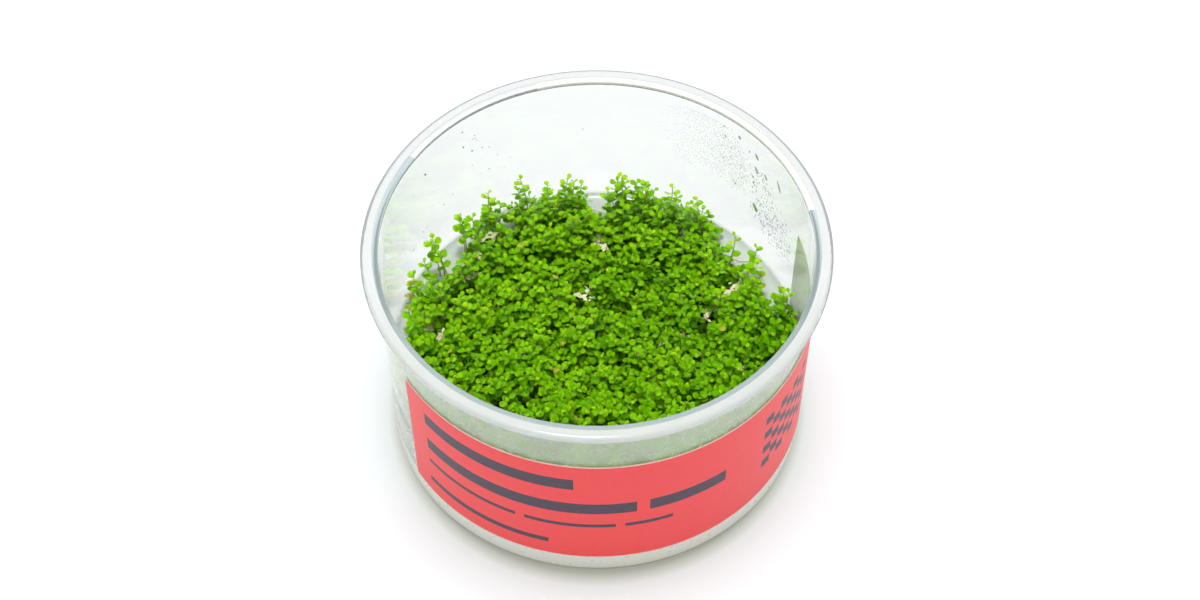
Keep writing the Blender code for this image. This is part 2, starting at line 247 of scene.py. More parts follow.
# Sprigs that stand above the carpet, as x, y and z of the tip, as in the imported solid
SPRIG_TIPS = [(x * MM, y * MM, z * MM) for x, y, z in (
    (-36.5, 20.8, 32.0), (-31.0, 27.6, 31.5), (-24.5, 33.8, 32.0), (-17.3, 37.6, 32.5),
    (-11.2, 36.6, 31.5), (-6.6, 38.2, 32.0), (5.6, 38.4, 32.5), (11.0, 37.4, 31.5),
    (17.0, 36.0, 31.5), (22.5, 32.6, 31.0), (30.8, 22.4, 31.0), (35.4, 15.4, 30.0),
    (41.0, 7.0, 30.5), (-41.0, -9.0, 30.5), (37.5, -17.0, 30.5), (-20.0, -35.5, 30.5),
    (4.0, -39.0, 30.5),
)]

# Shorter sprigs at the carpet's edges, as x, y and z of the tip and share of old leaves
EDGE_TIPS = [(x * MM, y * MM, z * MM, aged) for x, y, z, aged in (
    (-40.8, 14.4, 27.5, 0.35), (-41.4, 13.4, 25.0, 0.60), (-39.9, 11.8, 26.5, 0.15), (-37.1, 21.0, 30.0, 0.0),
    (-34.9, 18.7, 29.0, 0.0), (-38.4, 17.5, 28.0, 0.1), (-41.4, 5.6, 26.5, 0.1), (-40.3, 3.6, 26.0, 0.0),
    (-30.2, 27.3, 30.0, 0.0), (-28.0, 29.5, 29.0, 0.0), (42.2, 8.4, 28.5, 0.0), (40.6, 9.6, 28.0, 0.0),
    (35.6, 20.6, 29.0, 0.0), (34.5, 18.2, 27.0, 0.1), (36.3, 15.3, 26.5, 0.2), (2.5, 37.0, 29.0, 0.0),
)]


# Small helpers

def outer_wall(z):
    """Radius of the wall's outside at a height."""
    return BASE_RADIUS + WALL_FLARE * z


def inner_wall(z):
    return outer_wall(z) - WALL_THICKNESS


def arc(centre, radius, start_deg, end_deg, steps):
    """Points along an arc in the (r, z) plane, both ends included."""
    points = []
    for i in range(steps + 1):
        angle = math.radians(start_deg + (end_deg - start_deg) * i / steps)
        points.append((centre[0] + radius * math.cos(angle), centre[1] + radius * math.sin(angle)))
    return points


def inner_corner_centre():
    z = FLOOR_THICKNESS + INNER_CORNER
    return inner_wall(z) - INNER_CORNER, z


def piece(name, mesh, materials, replaces=()):
    """Put a mesh in the scene as a piece that rides on the part."""
    thing = bpy.data.objects.new(name, mesh)
    bpy.context.scene.collection.objects.link(thing)
    for material in materials:
        mesh.materials.append(material)
    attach(thing, "root")
    if replaces:
        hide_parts(*replaces)


def finish_mesh(name, bm):
    """A mesh with faces that point out, smooth but for its sharp edges."""
    bmesh.ops.recalc_face_normals(bm, faces=bm.faces)
    mesh = bpy.data.meshes.new(name)
    bm.to_mesh(mesh)
    bm.free()
    mesh.shade_smooth()
    mesh.set_sharp_from_angle(angle=math.radians(SMOOTH_DEG))
    return mesh


def turned(name, outline, zone=None):
    """A closed mesh turned about Z from an (r, z) outline with both ends on the axis.

    zone gives a face's material slot from its step along the outline and its middle.
    """
    bm = bmesh.new()
    rings = []
    for r, z in outline[1:-1]:
        ring = []
        for i in range(TURN_STEPS):
            angle = math.tau * i / TURN_STEPS
            ring.append(bm.verts.new((r * math.cos(angle), r * math.sin(angle), z)))
        rings.append(ring)
    for k, (lower, upper) in enumerate(zip(rings, rings[1:])):
        for i in range(TURN_STEPS):
            j = (i + 1) % TURN_STEPS
            face = bm.faces.new((lower[i], lower[j], upper[j], upper[i]))
            if zone:
                face.material_index = zone(k, face.calc_center_median())
    for ring, end in ((rings[0], outline[0]), (rings[-1], outline[-1])):
        middle = bm.verts.new((0.0, 0.0, end[1]))
        for i in range(TURN_STEPS):
            bm.faces.new((middle, ring[i], ring[(i + 1) % TURN_STEPS]))
    return finish_mesh(name, bm)


# Materials

def new_material(name, colour, roughness, **inputs):
    """A Principled material, and its node tree, shader and object coordinates."""
    material = bpy.data.materials.new(name)
    material.use_nodes = True
    tree = material.node_tree
    shader = tree.nodes["Principled BSDF"]
    shader.inputs["Base Color"].default_value = (*colour, 1.0)
    shader.inputs["Roughness"].default_value = roughness
    for key, value in inputs.items():
        shader.inputs[key.replace("_", " ")].default_value = value
    coordinates = tree.nodes.new("ShaderNodeTexCoord")
    return material, tree, shader, coordinates.outputs["Object"]


def noise(tree, where, scale, detail=4.0, roughness=0.55):
    node = tree.nodes.new("ShaderNodeTexNoise")
    node.inputs["Scale"].default_value = scale
    node.inputs["Detail"].default_value = detail
    node.inputs["Roughness"].default_value = roughness
    tree.links.new(where, node.inputs["Vector"])
    return node.outputs["Fac"]


def ramp(tree, value, stops):
    """Colours along a value: stops are (position, (r, g, b))."""
    node = tree.nodes.new("ShaderNodeValToRGB")
    elements = node.color_ramp.elements
    while len(elements) < len(stops):
        elements.new(0.5)
    for element, (position, colour) in zip(elements, stops):
        element.position = position
        element.color = (*colour, 1.0)
    tree.links.new(value, node.inputs["Fac"])
    return node.outputs["Color"]


def paint(tree, shader, value, stops):
    """Colour a surface by a value, with stops as in ramp."""
    tree.links.new(ramp(tree, value, stops), shader.inputs["Base Color"])


def spread(tree, value, low, high, to_low, to_high):
    """A value mapped from one range to another."""
    node = tree.nodes.new("ShaderNodeMapRange")
    for name, number in (("From Min", low), ("From Max", high), ("To Min", to_low), ("To Max", to_high)):
        node.inputs[name].default_value = number
    tree.links.new(value, node.inputs["Value"])
    return node.outputs["Result"]


def distance(tree, where, stretch, shift=(0.0, 0.0, 0.0)):
    """Distance from the origin, of coordinates that are stretched and then shifted."""
    placed = tree.nodes.new("ShaderNodeVectorMath")
    placed.operation = "MULTIPLY_ADD"
    placed.inputs[1].default_value = stretch
    placed.inputs[2].default_value = shift
    tree.links.new(where, placed.inputs[0])
    length = tree.nodes.new("ShaderNodeVectorMath")
    length.operation = "LENGTH"
    tree.links.new(placed.outputs["Vector"], length.inputs[0])
    return length.outputs["Value"]


def bump(tree, shader, height, strength, depth):
    """Fine relief of a surface."""
    node = tree.nodes.new("ShaderNodeBump")
    node.inputs["Strength"].default_value = strength
    node.inputs["Distance"].default_value = depth
    tree.links.new(height, node.inputs["Height"])
    tree.links.new(node.outputs["Normal"], shader.inputs["Normal"])


def plastic_materials():
    """Clear plastic, and the same plastic at the flange and foot, at the lip and along the flange's edge in
    greys of painted shade, and under more or less mist.
    """
    materials = []
    for name, colour, roughness, transmission in (
        ("clear_plastic", (0.960, 0.963, 0.963), 0.02, 1.0),
        ("flange_plastic", (0.87, 0.885, 0.885), 0.18, 0.55),
        ("shaded_lip_plastic", (0.47, 0.57, 0.59), 0.15, 0.52),
        ("misted_plastic", (0.95, 0.98, 0.90), 0.22, 0.46),
        ("shaded_edge_plastic", (0.38, 0.38, 0.405), 0.10, 0.32),
        ("foot_plastic", (0.86, 0.87, 0.80), 0.30, 0.10),
        ("half_misted_plastic", (0.95, 0.98, 0.91), 0.17, 0.62),
        ("thinly_misted_plastic", (0.955, 0.97, 0.94), 0.10, 0.80),
        ("faintly_misted_plastic", (0.955, 0.965, 0.955), 0.05, 0.92),
    ):
        material, tree, shader, where = new_material(
            name, colour, roughness, Transmission_Weight=transmission, IOR=1.49
        )
        patches = noise(tree, where, 420.0, 5.0, 0.6)
        if name == "clear_plastic":
            bump(tree, shader, noise(tree, where, 90.0, 3.0), 0.05, 0.2 * MM)
        elif "misted" in name:
            rough = spread(tree, patches, 0.35, 0.65, roughness * 0.55, roughness * 1.55)
            tree.links.new(rough, shader.inputs["Roughness"])
            stops = [(0.34, (0.76, 0.91, 0.60)), (0.48, (0.94, 0.98, 0.86)), (0.62, (1.0, 1.0, 0.99))]
            paint(tree, shader, patches, stops)
            bump(tree, shader, patches, 0.15, 0.1 * MM)
        else:
            rough = spread(tree, patches, 0.3, 0.7, roughness * 0.8, roughness * 1.25)
            tree.links.new(rough, shader.inputs["Roughness"])
            if name != "foot_plastic":
                bump(tree, shader, patches, 0.08, 0.05 * MM)
        materials.append(material)
    return materials


# Places of a mix node's colour sockets, which share their names with other sockets
MIX_FIRST, MIX_SECOND, MIX_RESULT = 6, 7, 2


def gel_material():
    """Wet, hazy nutrient gel, dark green under the carpet as a mat of roots and old leaves and as painted
    shade, and paler on its sides as painted light.
    """
    material, tree, shader, where = new_material(
        "nutrient_gel", (0.60, 0.65, 0.56), 0.14, Transmission_Weight=0.15, IOR=1.34
    )
    bare = ramp(tree, noise(tree, where, 60.0), [(0.3, (0.58, 0.66, 0.59)), (0.7, (0.69, 0.75, 0.68))])
    # Dark greens under the carpet: a mat of roots and old leaves, and painted shade
    shade_mottle = noise(tree, where, 500.0)
    matted_shade = ramp(tree, shade_mottle, [(0.3, (0.030, 0.075, 0.008)), (0.7, (0.090, 0.170, 0.020))])
    share = spread(tree, distance(tree, where, (1.0, 1.0, 0.0)), GEL_SHADED_MAT_INNER, GEL_SHADED_MAT_OUTER, 0.0, 1.0)
    blend = tree.nodes.new("ShaderNodeMix")
    blend.data_type = "RGBA"
    tree.links.new(share, blend.inputs["Factor"])
    tree.links.new(matted_shade, blend.inputs[MIX_FIRST])
    tree.links.new(bare, blend.inputs[MIX_SECOND])
    # The gel's sides, below its top, take a paler colour as painted light
    parts = tree.nodes.new("ShaderNodeSeparateXYZ")
    tree.links.new(where, parts.inputs[0])
    height = spread(tree, parts.outputs["Z"], GEL_TOP - 1.2 * MM, GEL_TOP - 0.2 * MM, 0.0, 1.0)
    side = tree.nodes.new("ShaderNodeMix")
    side.data_type = "RGBA"
    tree.links.new(height, side.inputs["Factor"])
    side.inputs[MIX_FIRST].default_value = (0.84, 0.86, 0.77, 1.0)
    tree.links.new(blend.outputs[MIX_RESULT], side.inputs[MIX_SECOND])
    tree.links.new(side.outputs[MIX_RESULT], shader.inputs["Base Color"])
    bump(tree, shader, noise(tree, where, 160.0), 0.15, 0.3 * MM)
    return material


def label_materials():
    """Red face, dark bars, cut edge and plain back of the label, each with a fine grain."""
    materials = []
    for name, colour, roughness, grain, stops in (
        ("label_red", (0.95, 0.048, 0.052), 0.42, (900.0, 5.0, 0.6),
         [(0.3, (0.93, 0.044, 0.049)), (0.7, (0.97, 0.053, 0.058))]),
        ("label_ink", (0.05, 0.03, 0.06), 0.42, (700.0, 5.0, 0.6),
         [(0.3, (0.035, 0.020, 0.045)), (0.8, (0.065, 0.038, 0.070))]),
        ("label_edge", (0.88, 0.62, 0.52), 0.55, (1200.0,),
         [(0.3, (0.86, 0.52, 0.44)), (0.7, (0.93, 0.74, 0.64))]),
        ("label_back", (0.84, 0.88, 0.76), 0.70, (500.0,),
         [(0.3, (0.80, 0.85, 0.72)), (0.7, (0.88, 0.90, 0.80))]),
    ):
        material, tree, shader, where = new_material(name, colour, roughness)
        fibres = noise(tree, where, *grain)
        paint(tree, shader, fibres, stops)
        if name == "label_red":
            bump(tree, shader, fibres, 0.08, 0.05 * MM)
        materials.append(material)
    return materials


def leaf_material(number, colour):
    """Fresh leaf of one green, mottled, with a waxy gloss."""
    material, tree, shader, where = new_material(
        f"leaf_{number}", colour, 0.38, Subsurface_Weight=1.0, Subsurface_Scale=0.4 * MM, Coat_Weight=0.04
    )
    shader.inputs["Coat Roughness"].default_value = 0.16
    shader.inputs["Subsurface Radius"].default_value = (0.6, 1.0, 0.1)
    shader.inputs["Specular IOR Level"].default_value = 0.30
    shader.inputs["Specular Tint"].default_value = (0.80, 1.0, 0.05, 1.0)
    darker = tuple(part * 0.78 for part in colour)
    lighter = tuple(min(1.0, part * 1.18) for part in colour)
    paint(tree, shader, noise(tree, where, 650.0), [(0.32, darker), (0.68, lighter)])
    bump(tree, shader, noise(tree, where, 1500.0, 3.0), 0.2, 0.06 * MM)
    return material


def stem_material():
    """Pale green stems, greener in places."""
    material, tree, shader, where = new_material(
        "stem", (0.35, 0.55, 0.10), 0.4, Subsurface_Weight=0.2, Subsurface_Scale=0.4 * MM
    )
    stops = [(0.3, (0.22, 0.42, 0.05)), (0.55, (0.38, 0.56, 0.12)), (0.8, (0.52, 0.60, 0.26))]
    paint(tree, shader, noise(tree, where, 300.0), stops)
    return material


def root_material():
    """Pale roots and old stems matted on the gel."""
    material, tree, shader, where = new_material(
        "roots", (0.78, 0.72, 0.56), 0.45, Subsurface_Weight=0.2, Subsurface_Scale=0.5 * MM
    )
    stops = [
        (0.30, (0.48, 0.46, 0.14)),
        (0.42, (0.70, 0.64, 0.32)),
        (0.58, (0.84, 0.78, 0.48)),
        (0.80, (0.92, 0.88, 0.64)),
    ]
    paint(tree, shader, noise(tree, where, 260.0, 6.0, 0.65), stops)
    bump(tree, shader, noise(tree, where, 900.0), 0.5, 0.3 * MM)
    return material


def water_materials():
    """Small drops, the paler fine mist and the larger single drops, tinted grey-green as painted shade, the
    single drops darkest.
    """
    materials = []
    # Grey-green tints of painted shade in the clear water, darkest for the single drops
    for name, colour, clear, bend in (
        ("water", (0.66, 0.70, 0.67), 1.0, 1.33),
        ("fine_mist", (0.93, 0.93, 0.91), 0.7, 1.15),
        ("single_drops", (0.36, 0.40, 0.35), 1.0, 1.33),
    ):
        material, tree, shader, where = new_material(
            name, colour, 0.0, Transmission_Weight=clear, IOR=bend
        )
        bump(tree, shader, noise(tree, where, 800.0, 2.0), 0.05, 0.05 * MM)
        materials.append(material)
    return materials


# Camera, floor and light

def look_at(thing, target):
    thing.rotation_euler = (target - thing.location).to_track_quat("-Z", "Y").to_euler()


def make_camera():
    camera = bpy.data.objects.new("camera", bpy.data.cameras.new("camera"))
    camera.data.lens = CAMERA_LENS
    camera.data.sensor_width = SENSOR_WIDTH
    camera.location = CAMERA_PLACE
    look_at(camera, CAMERA_TARGET)
    bpy.context.scene.collection.objects.link(camera)
    bpy.context.scene.camera = camera


def area_light(name, place, size, power):
    light = bpy.data.lights.new(name, "AREA")
    light.shape = "SQUARE"
    light.size = size
    light.energy = power
    lamp = bpy.data.objects.new(name, light)
    lamp.location = place
    look_at(lamp, LIGHT_TARGET)
    bpy.context.scene.collection.objects.link(lamp)
    return lamp


def floor_material():
    """White paper that glows a little, and less so close to the cup: a painted shadow round its foot."""
    material, tree, shader, where = new_material("floor", (0.54, 0.54, 0.54), 0.7)
    shader.inputs["Specular IOR Level"].default_value = 0.2
    radius = distance(tree, where, FLOOR_SHADE_STRETCH, FLOOR_SHADE_SHIFT)
    reach = spread(tree, radius, FLOOR_SHADE_START, FLOOR_SHADE_END, 0.0, 1.0)
    # The glow dims and turns grey-green near the cup as a painted shadow
    glow_and_painted_shadow = ramp(tree, reach, FLOOR_GLOW_AND_PAINTED_SHADOW)
    tree.links.new(glow_and_painted_shadow, shader.inputs["Emission Color"])
    shader.inputs["Emission Strength"].default_value = 1.0
    return material


def make_stage():
    """White floor with a painted shadow round the cup, white surroundings with a brighter backdrop, and two
    softboxes.

    The small softbox lights the object alone, so it throws no shadow on the floor.
    """
    bm = bmesh.new()
    bmesh.ops.create_grid(bm, x_segments=1, y_segments=1, size=FLOOR_HALF_SIZE)
    floor = bpy.data.objects.new("floor", finish_mesh("floor", bm))
    bpy.context.scene.collection.objects.link(floor)
    floor.data.materials.append(floor_material())
    world = bpy.data.worlds.new("studio")
    bpy.context.scene.world = world
    world.use_nodes = True
    tree = world.node_tree
    parts = tree.nodes.new("ShaderNodeSeparateXYZ")
    tree.links.new(tree.nodes.new("ShaderNodeTexCoord").outputs["Generated"], parts.inputs[0])
    behind = spread(tree, parts.outputs["Y"], *BACKDROP_BEHIND, 0.0, 1.0)
    low = spread(tree, parts.outputs["Z"], *BACKDROP_LOW, 1.0, 0.0)
    backdrop = tree.nodes.new("ShaderNodeMath")
    backdrop.operation = "MULTIPLY"
    tree.links.new(behind, backdrop.inputs[0])
    tree.links.new(low, backdrop.inputs[1])
    strength = spread(tree, backdrop.outputs["Value"], 0.0, 1.0, WORLD_STRENGTH, BACKDROP_STRENGTH)
    sky = tree.nodes["Background"]
    sky.inputs["Color"].default_value = (1.0, 1.0, 1.0, 1.0)
    tree.links.new(strength, sky.inputs["Strength"])
    key = area_light("key", *KEY_LIGHT)
    area_light("overhead", *OVERHEAD_LIGHT)
    unlit = bpy.data.collections.new("key_receivers")
    unlit.objects.link(floor)
    unlit.collection_objects[0].light_linking.link_state = "EXCLUDE"
    key.light_linking.receiver_collection = unlit
    bpy.context.scene.view_settings.view_transform = "Standard"
    bpy.context.scene.cycles.blur_glossy = 0.0


# Cup

def make_cup():
    """The cup, turned from its section, with a material for each zone of its surface."""
    outer_centre = (outer_wall(OUTER_CORNER) - OUTER_CORNER, OUTER_CORNER)
    flange_radius = FLANGE_THICKNESS / 2
    flange_centre = (RIM_RADIUS - flange_radius, CUP_HEIGHT - flange_radius)
    flange_bottom = CUP_HEIGHT - FLANGE_THICKNESS
    outline = [(0.0, FOOT_LIFT), (FOOT_RING_RADIUS - FOOT_LIFT, FOOT_LIFT), (FOOT_RING_RADIUS, 0.0)]
    outline += arc(outer_centre, OUTER_CORNER, -90, 0, 8)
    zone_heights = (FOOT_MATT_TOP, GEL_TOP - MENISCUS_WIDTH, GEL_TOP + MENISCUS_RISE)
    outline += [(outer_wall(z), z) for z in zone_heights]
    fillet_centre = (outer_wall(flange_bottom) + FLANGE_FILLET, flange_bottom - FLANGE_FILLET)
    outline += arc(fillet_centre, FLANGE_FILLET, 180, 90, 5)
    flange_start = len(outline)
    outline += arc(flange_centre, flange_radius, -90, 90, 22)
    outline += [(FLANGE_FLAT_INNER, CUP_HEIGHT)]
    lip_start = len(outline)
    lip = CUP_HEIGHT - LIP_STEP
    outline += [(FLANGE_FLAT_INNER - LIP_STEP, lip)]
    outline += arc((inner_wall(lip) + LIP_CORNER, lip - LIP_CORNER), LIP_CORNER, 90, 180, 5)
    wall_start = len(outline)
    top = lip - LIP_CORNER - LIP_SKIRT
    outline.append((inner_wall(top), top))
    rows = int((top - MIST_BOTTOM) / WALL_ROW)
    for i in range(1, rows + 1):
        z = top + (MIST_BOTTOM - top) * i / rows
        outline.append((inner_wall(z), z))
    outline += arc(inner_corner_centre(), INNER_CORNER, 0, -90, 8)
    outline += [(0.0, FLOOR_THICKNESS)]

    def zone(step, middle):
        corner = step + 1
        turn = math.degrees(math.atan2(middle.x, -middle.y))
        level = math.degrees(math.atan2(middle.z - flange_centre[1], middle.xy.length - flange_centre[0]))
        full = max(0.0, min(1.0, (abs(turn) - EDGE_START_DEG) / (EDGE_FULL_DEG - EDGE_START_DEG)))
        edge_top = EDGE_LOW_DEG + (EDGE_HIGH_DEG - EDGE_LOW_DEG) * full
        outside = corner < flange_start and middle.xy.length > FOOT_RING_RADIUS
        # A grey band of painted shade along the flange's outer edge, wider at the sides
        if flange_start <= corner < lip_start and EDGE_LOW_DEG < level < edge_top:
            return SHADED_EDGE
        if outside and middle.z < FOOT_MATT_TOP:
            return FOOT
        if outside and FOOT_MATT_TOP < middle.z < GEL_TOP:
            return HALF_MISTED if middle.z < GEL_TOP - MENISCUS_WIDTH else THINLY_MISTED
        if flange_start - 1 <= corner < lip_start:
            return FLANGE
        if lip_start <= corner < wall_start - 1:
            # Blue-grey painted shade on the lip; at the back, flange plastic paints a dark line and foot
            # plastic keeps the rest pale
            if LIP_START_DEG < turn < LIP_END_DEG:
                return SHADED_LIP
            return FLANGE if LINE_START_DEG < turn % 360 < LINE_END_DEG else FOOT
        if corner == wall_start - 1 and PALE_START_DEG < turn % 360 < LINE_START_DEG:
            return FOOT
        if corner >= wall_start - 1 and middle.z > MIST_BOTTOM:
            spot = Vector((math.radians(turn), middle.z / RIM_RADIUS, 0.0))
            ragged = fractal(spot * MIST_RAGGED_SCALE, 0.6, 2.0, 4) * MIST_RAGGED_DEG
            depth = min(turn - MIST_START_DEG, MIST_END_DEG - turn) + ragged
            if depth >= 0:
                return MIST_ZONES[min(len(MIST_ZONES) - 1, int(depth / MIST_STEP_DEG))]
        return CLEAR

    mesh = turned("clear_cup", outline, zone)
    piece("clear_cup", mesh, plastic_materials(), ["cup"])


# Condensation

def add_drop(builder, azimuth_deg, z, half_width, half_height, dice, kind=DROP_KIND):
    """A leaning drop on the inner wall, which Builder.mesh then presses flat inside the wall."""
    azimuth = math.radians(azimuth_deg)
    out = Vector((math.sin(azimuth), -math.cos(azimuth), 0.0))
    across = Vector((math.cos(azimuth), math.sin(azimuth), 0.0))
    rise = (Vector((0.0, 0.0, 1.0)) + out * WALL_FLARE).normalized()
    slant = math.radians(DROP_SLANT_DEG)
    up = rise * math.cos(slant) + across * math.sin(slant)
    side = across * math.cos(slant) - rise * math.sin(slant)
    inward = side.cross(up)
    if inward.dot(out) > 0:
        inward = -inward
    foot = out * (inner_wall(z) - DROP_CLEARANCE) + Vector((0.0, 0.0, z))
    fine = kind == FINE_KIND
    depth = min(half_width, half_height) * dice.uniform(*DROP_DEPTHS[kind])
    points, faces = [], []
    sides = 6 if fine else 8
    levels = ((1.0, 0.0), (0.7, 0.75)) if fine else ((1.0, 0.0), (0.82, 0.55), (0.45, 0.9))
    for width, height in levels:
        for i in range(sides):
            turn = math.tau * i / sides
            sag = 1.0 - 0.25 * max(0.0, math.sin(turn))
            offset = side * (math.cos(turn) * half_width * width * sag)
            offset += up * (math.sin(turn) * half_height * width)
            points.append(tuple(foot + offset + inward * depth * height))
    points += [tuple(foot), tuple(foot + inward * depth)]
    base, apex, last = len(points) - 2, len(points) - 1, (len(levels) - 1) * sides
    for i in range(sides):
        j = (i + 1) % sides
        for low in range(0, last, sides):
            faces.append((low + i, low + j, low + j + sides, low + i + sides))
        faces += [(base, j, i, -1), (apex, last + i, last + j, -1)]
    builder.add(np.array(points), np.array(faces), kind)


def inside(area, x, y):
    """Whether a point lies in a polygon."""
    within = False
    for (ax, ay), (bx, by) in zip(area, area[1:] + area[:1]):
        if (ay > y) != (by > y) and x < ax + (bx - ax) * (y - ay) / (by - ay):
            within = not within
    return within


def scatter(area, count, dice, fade=0.0):
    """Random azimuths and heights in an area of the wall, thinned towards higher azimuths by fade."""
    low = [min(corner[k] for corner in area) for k in (0, 1)]
    high = [max(corner[k] for corner in area) for k in (0, 1)]
    places = []
    while len(places) < count:
        azimuth, height = dice.uniform(low[0], high[0]), dice.uniform(low[1], high[1])
        thinned = fade * (azimuth - low[0]) / (high[0] - low[0]) > dice.random()
        if inside(area, azimuth, height) and not thinned:
            height = min(height + dice.gauss(0, 1.0), DROP_TOP_MM)
            places.append((azimuth + dice.gauss(0, 1.3), height * MM))
    return places


def make_drops():
    """Fine mist drops, a band of larger ones and a few single drops along the inner wall."""
    dice = random.Random(SEED + 1)
    builder = Builder()
    for azimuth, z in scatter(FINE_MIST_AREA, FINE_MIST_COUNT, dice, fade=1.1):
        size = dice.uniform(0.07, 0.12) * MM
        add_drop(builder, azimuth, z, size, size * dice.uniform(0.9, 1.3), dice, FINE_KIND)
    for azimuth, z in scatter(DROP_BAND_AREA, DROP_BAND_COUNT, dice):
        size = dice.uniform(0.12, 0.27) * MM
        add_drop(builder, azimuth, z, size, size * dice.uniform(0.9, 1.6), dice)
    for azimuth, z, half_width, half_height in SINGLE_DROPS:
        add_drop(builder, azimuth, z, half_width, half_height, dice, SINGLE_KIND)
    for _ in range(STRAY_DROP_COUNT):
        size = dice.uniform(0.08, 0.2) * MM
        azimuth, height = [dice.uniform(*span) for span in STRAY_DROP_AREA]
        add_drop(builder, azimuth, height * MM, size, size * dice.uniform(1.0, 2.2), dice)
    piece("drops", builder.mesh("drops"), water_materials())


# Label

def label_blocks():
    """The bars and the chequer, as start and end angle in degrees and bottom and top height."""
    blocks = list(LABEL_BARS)
    side_deg = math.degrees(TILE_SIDE / outer_wall(TILES_BOTTOM))
    for row in range(TILE_ROWS):
        for column in range(TILE_COLUMNS):
            if (row + column) % 2 == 0:
                angle = TILES_START_DEG + column * side_deg
                z = TILES_BOTTOM + row * TILE_SIDE
                blocks.append((angle, angle + side_deg, z, z + TILE_SIDE))
    return blocks


def make_label():
    """A thin wrap on the wall, whose faces are cut along the edges of its bars and chequer."""
    blocks = label_blocks()
    angles = {LABEL_START, LABEL_END}
    heights = {LABEL_BOTTOM, LABEL_BOTTOM + LABEL_EDGE, LABEL_TOP - LABEL_EDGE, LABEL_TOP}
    for start, end, low, high in blocks:
        angles |= {math.radians(start), math.radians(end)}
        heights |= {low, high}
    for i in range(LABEL_STEPS):
        angle = LABEL_START + (LABEL_END - LABEL_START) * i / LABEL_STEPS
        if min(abs(angle - other) for other in angles) > math.radians(LABEL_LEAST_STEP_DEG):
            angles.add(angle)
    angles, heights = sorted(angles), sorted(heights)
    bm = bmesh.new()
    layers = []
    for lift in (LABEL_LIFT, LABEL_LIFT + LABEL_THICKNESS):
        grid = []
        for angle in angles:
            column = []
            for z in heights:
                r = outer_wall(z) + lift
                column.append(bm.verts.new((r * math.sin(angle), -r * math.cos(angle), z)))
            grid.append(column)
        layers.append(grid)
    back, front = layers
    for i in range(len(angles) - 1):
        for k in range(len(heights) - 1):
            face = bm.faces.new((front[i][k], front[i + 1][k], front[i + 1][k + 1], front[i][k + 1]))
            turn = math.degrees(angles[i] + angles[i + 1]) / 2
            z = (heights[k] + heights[k + 1]) / 2
            inked = any(b[0] < turn < b[1] and b[2] < z < b[3] for b in blocks)
            trim = k in (0, len(heights) - 2)
            face.material_index = INK if inked else CUT_EDGE if trim else RED
            face = bm.faces.new((back[i][k], back[i][k + 1], back[i + 1][k + 1], back[i + 1][k]))
            face.material_index = REVERSE
    rims = [[(i, k) for i in range(len(angles))] for k in (0, len(heights) - 1)]
    rims += [[(i, k) for k in range(len(heights))] for i in (0, len(angles) - 1)]
    for rim in rims:
        for (i, k), (j, m) in zip(rim, rim[1:]):
            face = bm.faces.new((back[i][k], back[j][m], front[j][m], front[i][k]))
            face.material_index = CUT_EDGE
    mesh = finish_mesh("wrap_label", bm)
    piece("wrap_label", mesh, label_materials(), ["label"])


# Gel

def make_gel():
    """The gel's disc, which climbs the wall a little at its brim."""
    brim = GEL_TOP + MENISCUS_RISE
    edge = inner_wall(brim) - GEL_CLEARANCE
    bottom = FLOOR_THICKNESS + GEL_CLEARANCE
    outline = [(0.0, bottom)]
    outline += arc(inner_corner_centre(), INNER_CORNER - GEL_CLEARANCE, -90, 0, 6)
    outline += [(edge, brim)]
    for i in range(1, MENISCUS_STEPS + 1):
        share = i / MENISCUS_STEPS
        rise = MENISCUS_RISE * (1 - share) ** MENISCUS_POWER
        outline.append((edge - MENISCUS_WIDTH * share, GEL_TOP + rise))
    outline += [(edge * 0.5, GEL_TOP), (0.0, GEL_TOP)]
    mesh = turned("gel_disc", outline)
    piece("gel_disc", mesh, [gel_material()], ["gel"])


# Plants

class Builder:
    """Collects many small closed shapes for one piece."""

    def __init__(self):
        self.points, self.faces, self.slots, self.count = [], [], [], 0

    def add(self, points, faces, slot):
        self.points.append(points)
        self.faces.append(np.where(faces >= 0, faces + self.count, -1))
        self.slots.append(np.full(len(faces), slot, np.int32))
        self.count += len(points)

    def mesh(self, name):
        """One mesh of all the shapes, with what lies past the leaves' limit drawn in to it.

        All drops lie past it too, so they end up flat there, 0.4 to 1.3 mm inside the wall.
        """
        points = np.vstack(self.points)
        radius = np.hypot(points[:, 0], points[:, 1])
        pull = np.minimum(1.0, LEAF_LIMIT_RADIUS / np.maximum(radius, MM))
        points[:, :2] *= pull[:, None]
        faces = np.vstack(self.faces)
        mesh = bpy.data.meshes.new(name)
        mesh.from_pydata(points.tolist(), [], [face[face >= 0].tolist() for face in faces])
        mesh.polygons.foreach_set("material_index", np.concatenate(self.slots))
        mesh.shade_smooth()
        mesh.set_sharp_from_angle(angle=math.radians(LEAF_SMOOTH_DEG))
        mesh.update()
        return mesh


def leaf_template(crosswise, outline):
    """A round leaf with a short foot along +X, of unit length: a closed lens as points and faces."""
    points = [(0.0, 0.0, 0.0)]
    for along, half in outline:
        points += [(along, across * half, 0.5 * (1 - across**2)) for across in crosswise]
        points.append((along, 0.0, -0.5))
    points.append((1.0, 0.0, 0.0))
    tip = len(points) - 1
    faces = []
    rows, around = len(outline), len(crosswise) + 1
    for i in range(rows):
        loop = [1 + around * i + k for k in range(around)]
        for a, b in zip(loop, loop[1:] + loop[:1]):
            if i == 0:
                faces.append((0, b, a, -1))
            if i < rows - 1:
                faces.append((a, b, b + around, a + around))
            else:
                faces.append((a, b, tip, -1))
    return np.array(points), np.array(faces)


